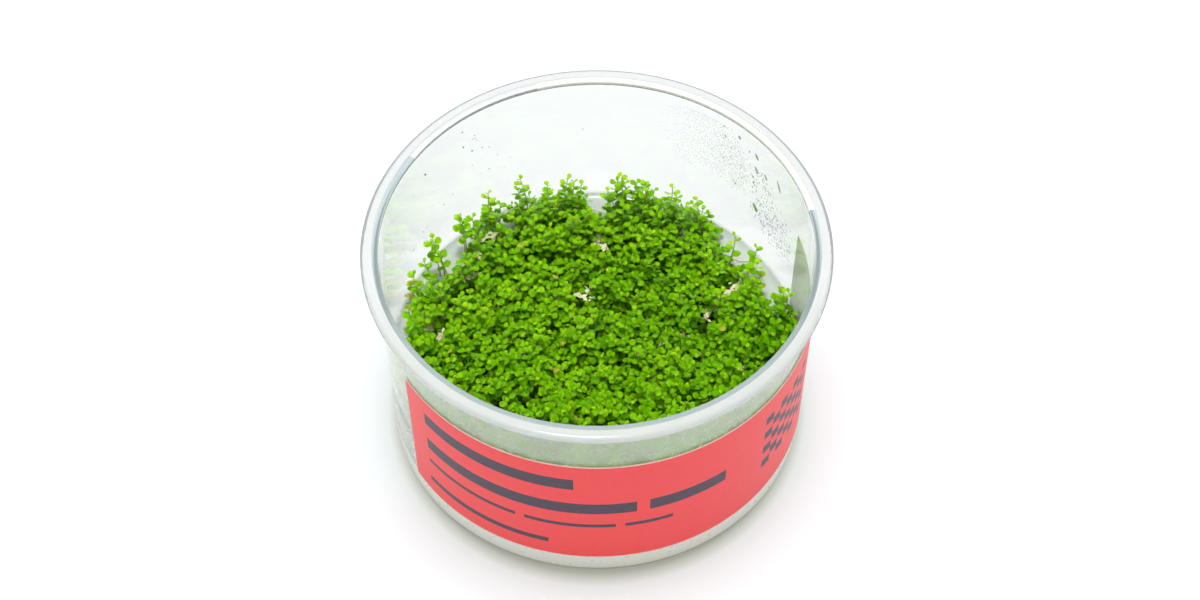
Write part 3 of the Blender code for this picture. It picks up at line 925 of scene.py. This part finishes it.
FINE_LEAF = leaf_template((-1.0, -0.5, 0.0, 0.5, 1.0), LEAF_OUTLINE)
PLAIN_LEAF = leaf_template((-1.0, 0.0, 1.0), LEAF_OUTLINE[1:])
LOW_LEAF = leaf_template((-1.0, 0.0, 1.0), LEAF_OUTLINE[0::2])
SHRED = leaf_template((-1.0, 0.0, 1.0), SHRED_OUTLINE)


def add_leaf(builder, template, joint, facing, angle, rise, length, dice, tone):
    """One leaf at a joint of a stem that points along facing."""
    unit, faces = template
    u = (Vector((1.0, 0.0, 0.0)) - facing * facing.x).normalized()
    v = facing.cross(u)
    flat = u * math.cos(angle) + v * math.sin(angle)
    out = flat * math.cos(rise) + facing * math.sin(rise)
    side = facing.cross(flat)
    roll = dice.uniform(-0.32, 0.32)
    over = out.cross(side)
    side, over = (
        side * math.cos(roll) + over * math.sin(roll),
        over * math.cos(roll) - side * math.sin(roll),
    )
    width = length * dice.uniform(0.88, 1.04)
    crown = dice.uniform(0.05, 0.32)
    droop = dice.uniform(-0.05, 0.16)
    x, y = unit[:, 0] * length, unit[:, 1] * width
    z = unit[:, 2] * LEAF_THICKNESS - crown * y * y / length - droop * x * x / length
    points = np.outer(x, out) + np.outer(y, side) + np.outer(z, over) + np.array(joint)
    builder.add(points, faces, tone)


def add_stem(builder, path, radii, slot):
    """A closed thin stem along a path."""
    sides = 4
    points, faces = [], []
    for middle, radius in zip(path, radii):
        for i in range(sides):
            angle = math.tau * i / sides
            across, along = radius * math.cos(angle), radius * math.sin(angle)
            points.append((middle.x + across, middle.y + along, middle.z))
    for ring in range(len(path) - 1):
        for i in range(sides):
            j = (i + 1) % sides
            low, high = ring * sides, (ring + 1) * sides
            faces.append((low + i, low + j, high + j, high + i))
    points += [tuple(path[0]), tuple(path[-1])]
    start, end, last = len(points) - 2, len(points) - 1, (len(path) - 1) * sides
    for i in range(sides):
        j = (i + 1) % sides
        faces += [(start, j, i, -1), (end, last + i, last + j, -1)]
    builder.add(np.array(points), np.array(faces), slot)


def stem_path(root, tip, facing):
    """A stem that starts upright at the root and ends along facing at the tip."""
    reach = (tip - root).length
    first = root + Vector((0.0, 0.0, reach * 0.35))
    last = tip - facing * reach * 0.35
    path = []
    for i in range(STEM_STEPS + 1):
        t = i / STEM_STEPS
        s = 1 - t
        path.append(root * s**3 + first * (3 * s * s * t) + last * (3 * s * t * t) + tip * t**3)
    return path


def along_path(path, share):
    """The point at a share of a path's length, and the path's direction there."""
    place = max(0.0, min(0.9999, share)) * (len(path) - 1)
    i = int(place)
    return path[i].lerp(path[i + 1], place - i), (path[i + 1] - path[i]).normalized()


def nearly(x, y, sway, dice):
    """A direction near (x, y, 1)."""
    return Vector((dice.gauss(x, sway), dice.gauss(y, sway), 1.0)).normalized()


def leaf_tone(value, dice, aged):
    """A leaf's material slot from a shade value of 0, deep, to 1, bright, which holds painted shade and light
    as well as each leaf's own tone; now and then an old leaf.
    """
    if dice.random() < aged:
        return TONE_OF_AGED
    return max(0, min(TONE_OF_AGED - 1, int(value * TONE_OF_AGED)))


def add_shoot(builder, root, tip, facing, pairs, spacing, dice, shade, low=False, aged=AGED_SHARE):
    """A stem with crossed pairs of leaves, the youngest pair small and steep at the tip."""
    path = stem_path(root, tip, facing)
    radii = [STEM_RADIUS * (1.2 - 0.5 * i / (len(path) - 1)) for i in range(len(path))]
    add_stem(builder, path, radii, STEM_SLOT)
    length = max((tip - root).length, 1 * MM)
    turn = dice.uniform(0, math.tau)
    down = 0.05 * MM
    for pair in range(pairs):
        share = 1 - down / length
        if share < 0.15:
            break
        joint, way = along_path(path, share)
        heading = (way + facing).normalized()
        size = LEAF_LENGTH * PAIR_SIZES[pair] * dice.uniform(0.86, 1.1)
        for half in range(2):
            angle = turn + math.pi * half + math.pi / 2 * pair + dice.uniform(-0.25, 0.25)
            rise = PAIR_RISES[pair] + dice.uniform(-0.2, 0.2)
            # Lower pairs take darker greens: older leaves, and painted shade deep in the carpet
            tone = leaf_tone(shade + 0.20 - 0.15 * pair + dice.uniform(-0.12, 0.12), dice, aged)
            template = LOW_LEAF if low else FINE_LEAF if pair < 3 else PLAIN_LEAF
            add_leaf(builder, template, joint, heading, angle, rise, size, dice, tone)
        down += spacing * dice.uniform(0.8, 1.2) * (0.6 if pair == 0 else 1.0)


def sight_on(point, z):
    """Where the camera's line of sight through a point meets the level z."""
    return CAMERA_PLACE + (point - CAMERA_PLACE) * ((CAMERA_PLACE.z - z) / (CAMERA_PLACE.z - point.z))


def hides_bare_gel(point):
    """Whether leaves at a point would stand in front of a patch of gel that is bare."""
    seen = sight_on(point, GEL_TOP)
    azimuth = math.degrees(math.atan2(seen.x, -seen.y)) % 360
    return any(start < azimuth < end and seen.xy.length > inner for start, end, inner in BARE_SECTORS)


class Carpet:
    """The clumps' solids, asked for their top at a place."""

    def __init__(self):
        self.trees, self.centres = {}, {}
        for name in CLUMPS:
            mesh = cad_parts[name].data
            corners = [vertex.co for vertex in mesh.vertices]
            self.trees[name] = BVHTree.FromPolygons(corners, [face.vertices for face in mesh.polygons])
            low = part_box(name)[0].z
            foot = [corner.xy for corner in corners if corner.z < low + 0.1 * MM]
            self.centres[name] = sum(foot, Vector((0.0, 0.0))) / len(foot)

    def nearest(self, spot):
        """The clump whose middle is nearest to a spot."""
        return min(CLUMPS, key=lambda name: (self.centres[name] - spot).length)

    def top(self, spot):
        """Height of the carpet at a spot, and the clump there, or None."""
        up = Vector((0.0, 0.0, 1.0))
        for name in sorted(CLUMPS, key=lambda name: (self.centres[name] - spot).length)[:4]:
            height, start = None, Vector((spot.x, spot.y, 0.0))
            for _ in range(8):
                hit = self.trees[name].ray_cast(start, up)[0]
                if hit is None:
                    break
                height, start = hit.z, hit + up * 0.01 * MM
            if height is not None and height > GEL_TOP + 4 * MM:
                return min(height, CARPET_TOP), name
        return None


def carpet_spots(dice):
    """Spots on a shaken triangular lattice over the carpet."""
    steps = int(CARPET_RADIUS / SHOOT_PITCH) + 2
    spots = []
    for row in range(-steps, steps + 1):
        for column in range(-steps, steps + 1):
            spot = Vector((column + 0.5 * (row % 2), row * 0.87)) * SHOOT_PITCH
            spot += Vector((dice.uniform(-1, 1), dice.uniform(-1, 1))) * SHOOT_PITCH * 0.36
            if spot.length < CARPET_RADIUS - 0.8 * MM:
                spots.append(spot)
    return spots


def add_shreds(builder, place, size, dice):
    """A few torn shreds of bleached roots and old leaves that lie across each other."""
    for _ in range(dice.choice((7, 8, 9))):
        joint = place + Vector([dice.uniform(-reach, reach) for reach in (1, 1, 0.2)]) * size * 0.8
        facing = nearly(0.0, -0.2, 0.2, dice)
        length, turn = size * dice.uniform(1.3, 2.6), dice.uniform(0, math.tau)
        add_leaf(builder, SHRED, joint, facing, turn, 0.05, length, dice, ROOT_SLOT)


def add_runner(builder, start, dice):
    """A pale root or creeping stem that wanders over the gel."""
    heading = dice.uniform(0, math.tau)
    path, point = [start], start
    for _ in range(RUNNER_STEPS):
        heading += dice.uniform(-0.7, 0.7)
        point = point + Vector((math.cos(heading), math.sin(heading), 0.0)) * RUNNER_STRIDE_MM * MM
        point.z = GEL_TOP + dice.uniform(0.15, 0.7) * MM
        if point.xy.length > LEAF_LIMIT_RADIUS - 1 * MM:
            break
        path.append(point)
    if len(path) > 2:
        add_stem(builder, path, [dice.uniform(0.09, 0.16) * MM] * len(path), ROOT_SLOT)


def root_under(spot, centre, share):
    """Where the stem of a shoot at a spot leaves the gel, nearer to its clump's middle."""
    return Vector((*(centre + (spot - centre) * share), GEL_TOP - ROOT_DEPTH))


def leave_bare(root, tip):
    """Whether a shoot would hide pale shreds or bare gel that show in the photograph."""
    seen = sight_on(tip, SHRED_HEIGHT).xy
    if any((seen - Vector((x, y))).length < SHRED_CLEARING + size * 0.5 for x, y, size in SHRED_PLACES):
        return True
    return any(hides_bare_gel(root.lerp(tip, share)) for share in (0.15, 0.5, 1.0))


def add_undergrowth(builder, root, tip, lean, dice):
    """A short shoot beside a tall one, and a few leaves low down on the gel, all in the darkest greens as
    painted shade.
    """
    side = Vector((dice.uniform(-1, 1), dice.uniform(-1, 1), 0.0)) * SHOOT_PITCH * 0.6
    low_tip = root.lerp(tip, dice.uniform(0.45, 0.62)) + side
    facing = nearly(lean.x, lean.y, 0.3, dice)
    spacing = PAIR_SPACING * LOW_SPACING
    add_shoot(builder, root + side * 0.5, low_tip, facing, LOW_PAIRS, spacing, dice, LOW_SHADE, low=True)
    for _ in range(LITTER_PER_SHOOT):
        joint = root + Vector((dice.uniform(-1, 1), dice.uniform(-1, 1), 0.0)) * SHOOT_PITCH * 0.7
        joint.z = GEL_TOP + dice.uniform(0.6, 2.6) * MM
        facing = nearly(0.0, 0.0, 0.25, dice)
        # Fallen leaves in the darkest greens, as painted shade
        turn, tone = dice.uniform(0, math.tau), dice.choice((0, 0, 1))
        add_leaf(builder, LOW_LEAF, joint, facing, turn, 0.1, LEAF_LENGTH, dice, tone)


def grow_carpet(carpet, builders, dice):
    """Shoots all over the clumps' solids, up to the solids' tops, with hollows between them."""
    shades = {name: dice.uniform(*CLUMP_SHADES) for name in CLUMPS}
    for spot in carpet_spots(dice):
        if spot.y > THIN_FROM and dice.random() < THIN_SHARE:
            continue
        found = None
        for shift in ((0, 0), (0.8, 0), (-0.8, 0), (0, 0.8), (0, -0.8)):
            found = found or carpet.top(spot + Vector(shift) * MM)
        if found is None:
            continue
        height, name = found
        centre = carpet.centres[name]
        hollow = max(0.0, fractal(Vector((spot.x, spot.y, 0.0)) / HOLLOW_SIZE, 0.5, 2.0, 2)) * HOLLOW_DEPTH
        tip = Vector((spot.x, spot.y, height - 0.5 * MM - hollow - dice.uniform(0.0, 1.0) ** 2 * 3.0 * MM))
        tall = dice.random() < (TALL_SHARE_BACK if spot.y > TALL_BACK_FROM else TALL_SHARE)
        if tall:
            tip.z = min(tip.z + dice.uniform(1.0, 2.2) * MM, TALL_LIMIT)
        root = root_under(spot, centre, ROOT_SHARE)
        if leave_bare(root, tip):
            continue
        lean = spot / CARPET_RADIUS * SHOOT_LEAN + (spot - centre) / CLUMP_REACH * 0.25 + LIGHT_LEAN
        lean += Vector((dice.gauss(0, 0.16), dice.gauss(0, 0.16)))
        facing = Vector((lean.x, lean.y, 1.0)).normalized()
        # Tall shoots take brighter greens as painted light
        shade = shades[name] + dice.uniform(-0.1, 0.1) + (0.16 if tall else 0.0)
        spacing = PAIR_SPACING * (TALL_SPACING if tall else 1.0)
        add_shoot(builders[name], root, tip, facing, SHOOT_PAIRS, spacing, dice, shade)
        add_undergrowth(builders[name], root, tip, lean, dice)


def grow_sprigs(carpet, builders, dice):
    """The sprigs at the carpet's edges and those that stand above it, at their places in the photograph."""
    for x, y, z, aged in EDGE_TIPS:
        tip = Vector((x, y, z))
        name = carpet.nearest(tip.xy)
        root = root_under(tip.xy, carpet.centres[name], EDGE_ROOT_SHARE)
        facing = nearly(0.0, -0.1, 0.2, dice)
        spacing = PAIR_SPACING * EDGE_SPACING
        add_shoot(builders[name], root, tip, facing, SPRIG_PAIRS, spacing, dice, EDGE_SHADE, aged=aged)
    for place in SPRIG_TIPS:
        tip = Vector(place)
        name = carpet.nearest(tip.xy)
        centre = carpet.centres[name]
        root = root_under(tip.xy, centre, SPRIG_ROOT_SHARE)
        lean = (tip.xy - centre) / CLUMP_REACH * 0.3
        facing = nearly(lean.x, lean.y, 0.15, dice)
        spacing = PAIR_SPACING * SPRIG_SPACING
        add_shoot(builders[name], root, tip, facing, SPRIG_PAIRS, spacing, dice, SPRIG_SHADE)


def lay_roots(carpet, builders, dice):
    """Pale shreds between the shoots, and runners over the gel round each clump's middle."""
    for x, y, size in SHRED_PLACES:
        place = Vector((x, y, SHRED_HEIGHT))
        add_shreds(builders[carpet.nearest(place.xy)], place, size, dice)
    for name in CLUMPS:
        for _ in range(RUNNERS_PER_CLUMP):
            aside = Vector((dice.gauss(0, 1), dice.gauss(0, 1))) * RUNNER_SPREAD_MM * MM
            start = Vector((*(carpet.centres[name] + aside), GEL_TOP + 0.4 * MM))
            add_runner(builders[name], start, dice)


def make_plants():
    """One piece for each clump, with its shoots, sprigs and roots."""
    materials = [leaf_material(i + 1, colour) for i, colour in enumerate(LEAF_TONES)]
    materials += [stem_material(), root_material()]
    carpet = Carpet()
    dice = random.Random(SEED)
    builders = {name: Builder() for name in CLUMPS}
    grow_carpet(carpet, builders, dice)
    grow_sprigs(carpet, builders, dice)
    lay_roots(carpet, builders, dice)
    for name in CLUMPS:
        title = f"plants_{name[-2:]}"
        piece(title, builders[name].mesh(title), materials, [name])


# The scene

make_camera()
make_stage()
make_cup()
make_label()
make_gel()
make_plants()
make_drops()
